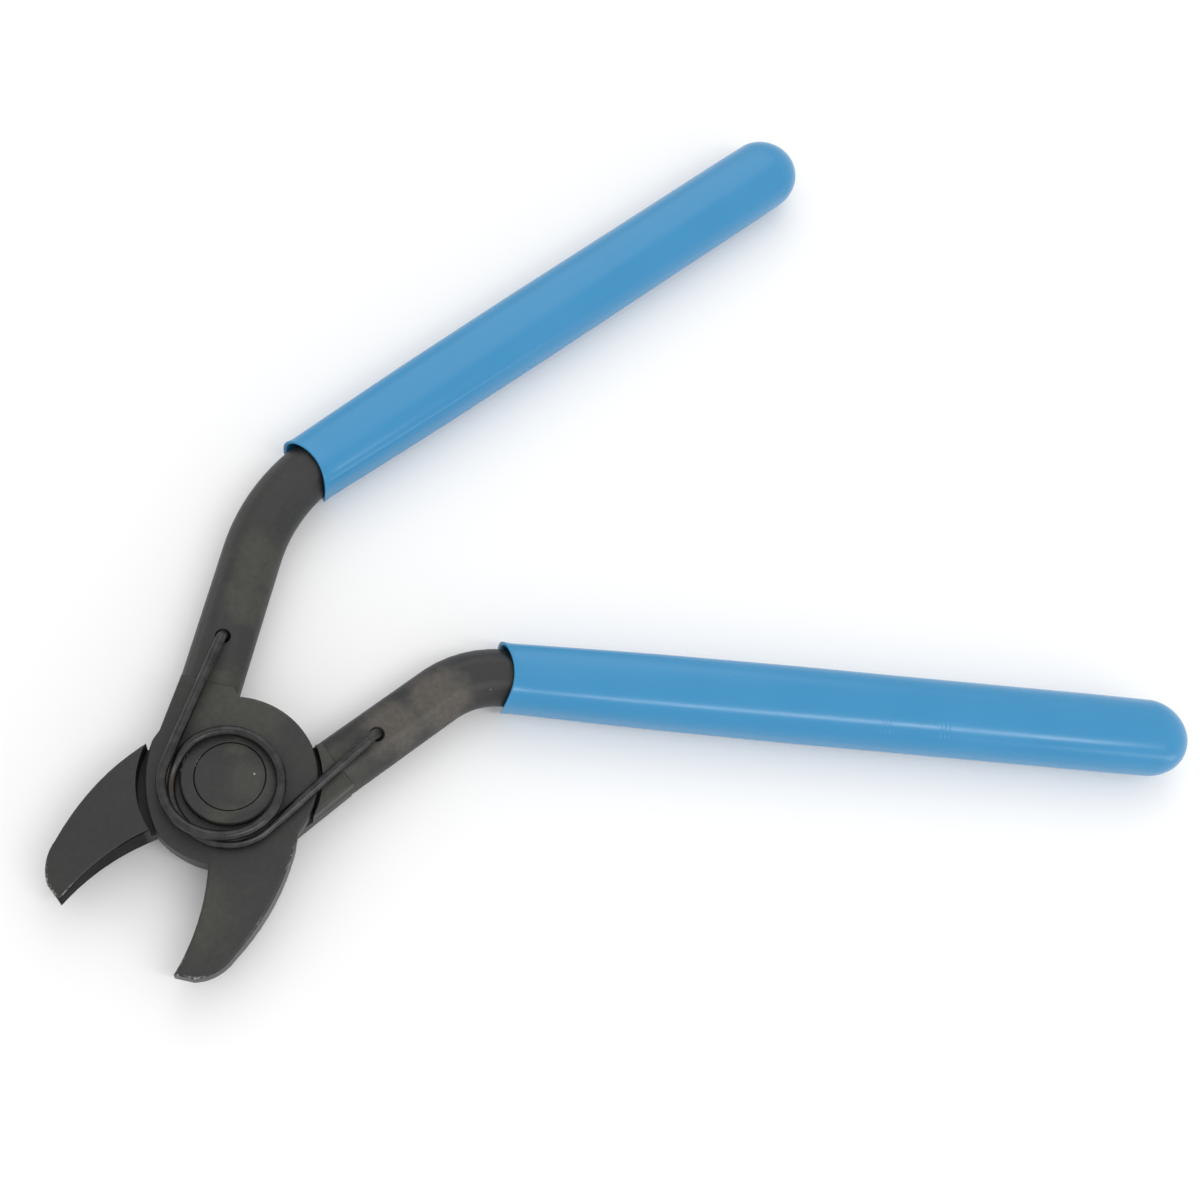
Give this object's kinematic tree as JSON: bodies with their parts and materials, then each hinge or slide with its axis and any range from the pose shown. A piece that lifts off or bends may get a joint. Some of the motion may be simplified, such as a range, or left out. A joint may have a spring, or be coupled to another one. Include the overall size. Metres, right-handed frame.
{
  "type": "angled ring-closing pliers",
  "caption": "Spring-opened lap-joint pliers with curved blunt jaws, sideways-bent handles and slip-on vinyl sleeves.",
  "frame": {"origin": "on the pivot axis, at the flat back face of the rivet, which is in the plane the tool lies on", "axes": "+Z along the pivot towards the spring side; +X along the straight roots of the bars, away from the jaws; the back half keeps still and its jaw is on the +Y side"},
  "size_m": [0.237, 0.1781, 0.0169],
  "materials": {
    "black_steel": "forged steel, semi-matt black oxide, worn bright at the jaw tips and edges",
    "rivet_steel": "turned steel, semi-matt black oxide with fine scuffs",
    "spring_wire": "round spring wire, dark oil-tempered",
    "blue_vinyl": "soft blue PVC, satin"
  },
  "bodies": {
    "back": {"back_half": "black_steel", "back_sleeve": "blue_vinyl", "pivot_rivet": "rivet_steel", "spring_collar": "rivet_steel", "return_spring": "spring_wire"},
    "front": {"front_half": "black_steel", "front_sleeve": "blue_vinyl"}
  },
  "joints": [
    {"name": "pivot", "type": "hinge", "parent": "back", "child": "front", "pos_m": [0, 0, 0.007], "axis": [0, 0, 1], "range_deg": [-39, 0], "stiffness_Nm_per_rad": 1.36, "springref_deg": 17.19, "deforming": ["return_spring"]}
  ]
}
